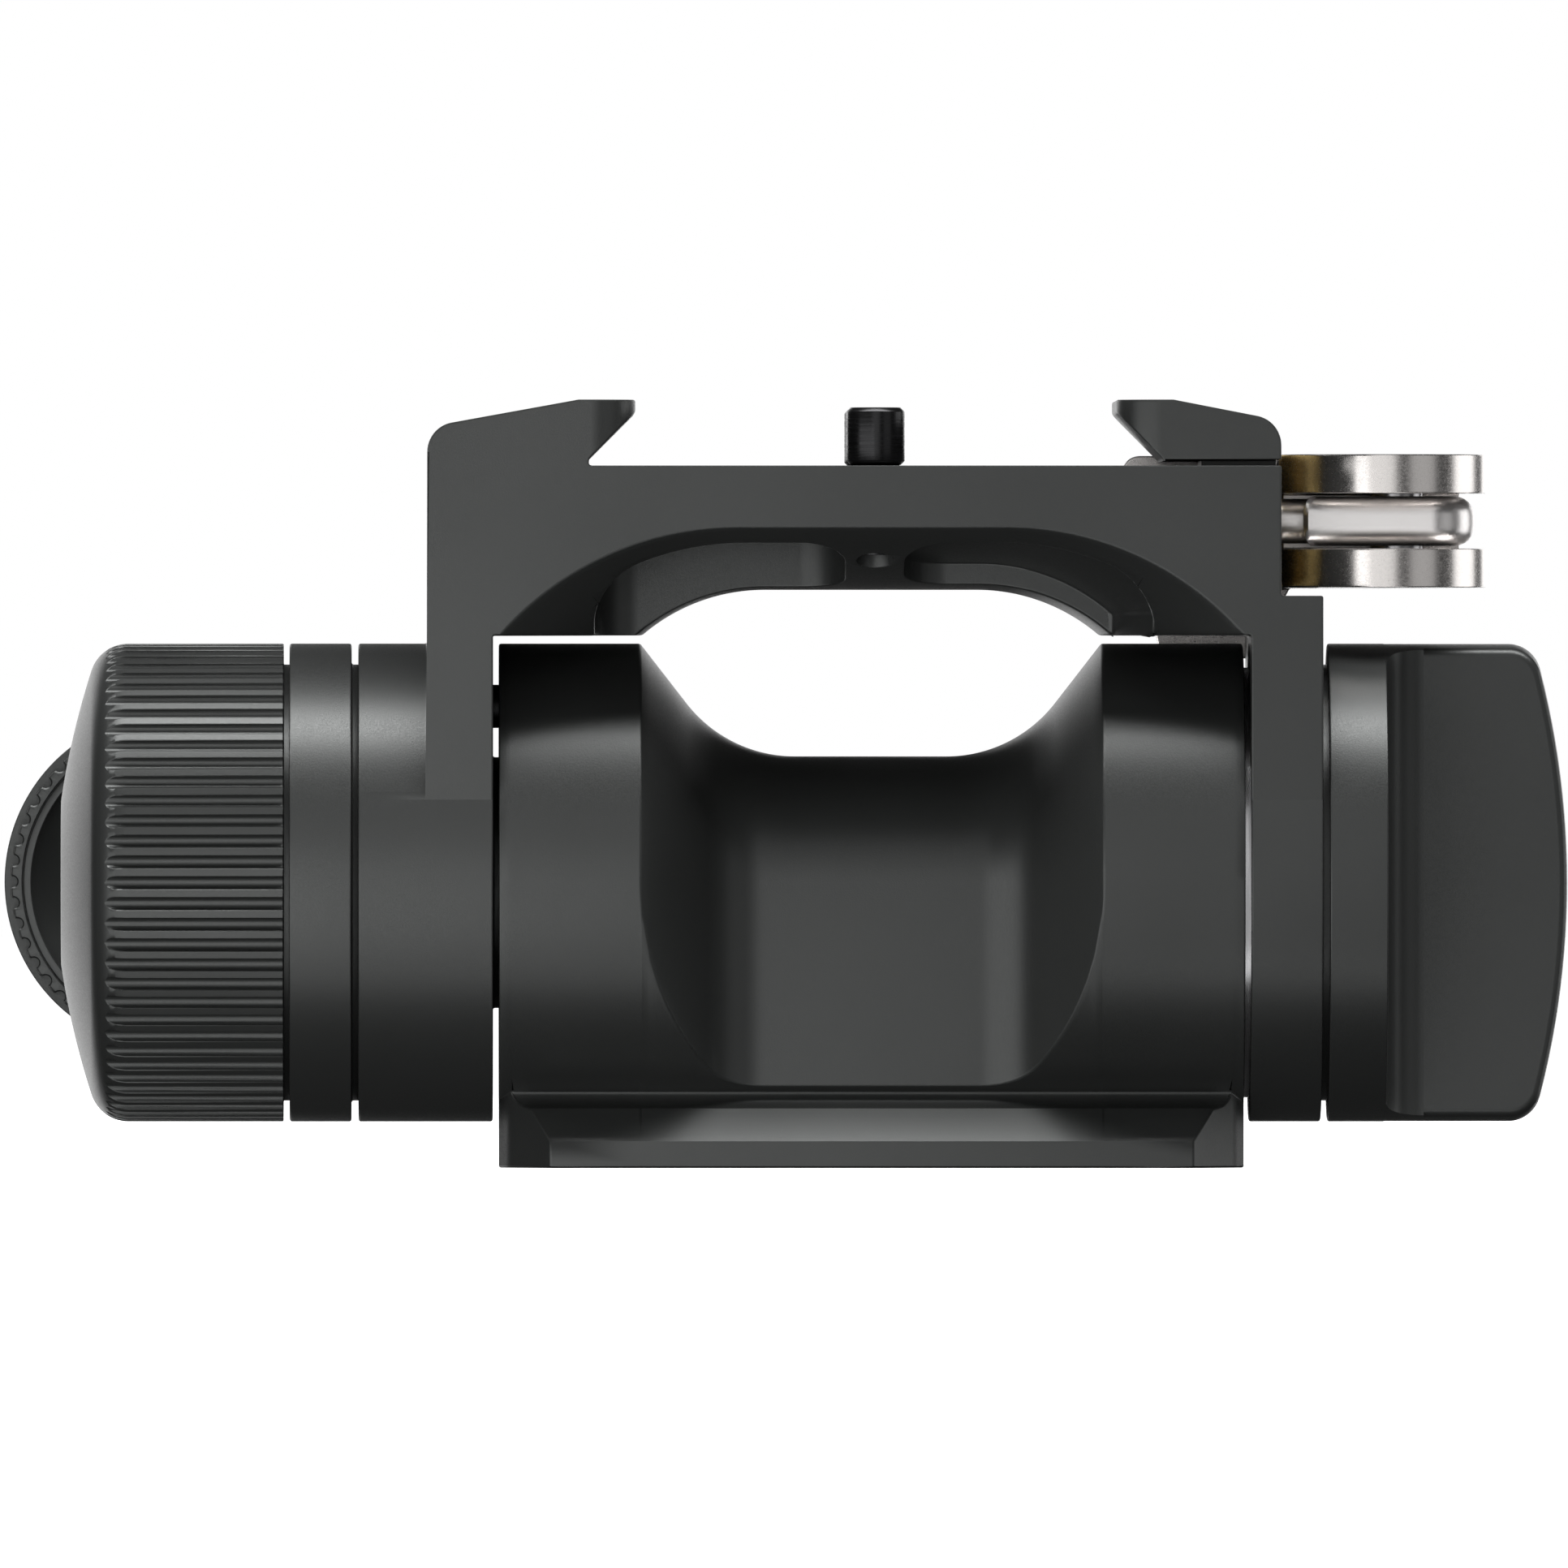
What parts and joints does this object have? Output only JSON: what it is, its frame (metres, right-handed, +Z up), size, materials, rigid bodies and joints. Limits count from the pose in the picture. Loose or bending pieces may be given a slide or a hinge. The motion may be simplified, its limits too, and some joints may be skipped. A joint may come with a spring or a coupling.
{
  "type": "alt azimuth mount",
  "caption": "Compact tilt mount: round drum base on a dovetail foot, yoke with lever dovetail clamp, wing lock knob and short rear handle.",
  "frame": {"origin": "centre of the foot's flat bottom face", "axes": "+Z up out of the foot, +X along the tilt axis towards the wing knob, +Y to the back where the handle is"},
  "size_m": [0.1048, 0.1111, 0.0513],
  "materials": {
    "black_anodised": "fine bead-blasted black anodised aluminium",
    "polished_steel": "polished stainless steel",
    "plain_steel": "turned bright steel",
    "blackened_steel": "turned, blackened steel",
    "bronze": "machined bearing bronze",
    "grip_rubber": "matt black rubber"
  },
  "bodies": {
    "base": {"tilt_base": "black_anodised", "tilt_axle": "plain_steel", "axle_set_screw_left": "blackened_steel", "axle_set_screw_right": "blackened_steel", "thrust_washer": "plain_steel", "axle_nut": "plain_steel"},
    "yoke": {"yoke_bracket": "black_anodised", "bush_left": "bronze", "bush_right": "bronze", "needle_bearing": "plain_steel", "bearing_cap": "black_anodised", "cap_screw_1": "plain_steel", "cap_screw_2": "plain_steel", "cap_screw_3": "plain_steel", "tilt_stop_pin": "blackened_steel", "stop_pin_front": "blackened_steel", "stop_pin_rear": "blackened_steel", "stop_pin_screw_front": "blackened_steel", "stop_pin_screw_rear": "blackened_steel", "guide_pin_front": "plain_steel", "guide_pin_rear": "plain_steel", "jaw_spring_front": "plain_steel", "jaw_spring_rear": "plain_steel", "tie_rod": "polished_steel", "tie_rod_nut": "plain_steel", "hub_screw": "blackened_steel", "hub_washer": "plain_steel"},
    "jaw": {"moving_jaw": "black_anodised", "cam_plate": "bronze", "cam_plate_screw_front": "blackened_steel", "cam_plate_screw_rear": "blackened_steel"},
    "lever": {"clamp_lever": "polished_steel", "lever_pin": "plain_steel"},
    "lock_knob": {"lock_knob": "black_anodised", "knob_insert": "plain_steel", "spring_washer": "plain_steel"},
    "handle": {"handle_hub": "black_anodised", "handle_rod": "black_anodised", "handle_ferrule": "blackened_steel", "grip_collar": "black_anodised", "handle_grip": "grip_rubber", "grip_end_cap": "black_anodised", "grip_end_screw": "blackened_steel"}
  },
  "joints": [
    {"name": "tilt", "type": "hinge", "parent": "base", "child": "yoke", "pos_m": [0, 0, 0.01905], "axis": [1, 0, 0], "range_deg": [-90, 90]},
    {"name": "lock", "type": "hinge", "parent": "base", "child": "lock_knob", "pos_m": [0.0345, 0, 0.01905], "axis": [1, 0, 0], "range_deg": [-180, 0]},
    {"name": "handle_angle", "type": "hinge", "parent": "yoke", "child": "handle", "pos_m": [-0.04675, 0, 0.01905], "axis": [1, 0, 0], "range_deg": [-45, 45]},
    {"name": "lever_swing", "type": "hinge", "parent": "yoke", "child": "lever", "pos_m": [0.0352, 0, 0.04325], "axis": [0, 0, -1], "range_deg": [0, 150]},
    {"name": "jaw_slide", "type": "slide", "parent": "yoke", "child": "jaw", "axis": [1, 0, 0], "range_m": [0, 0.0016]}
  ],
  "couplings": [
    {"joint": "jaw_slide", "follows": "lever_swing", "m_per_rad": 0.00061114}
  ]
}
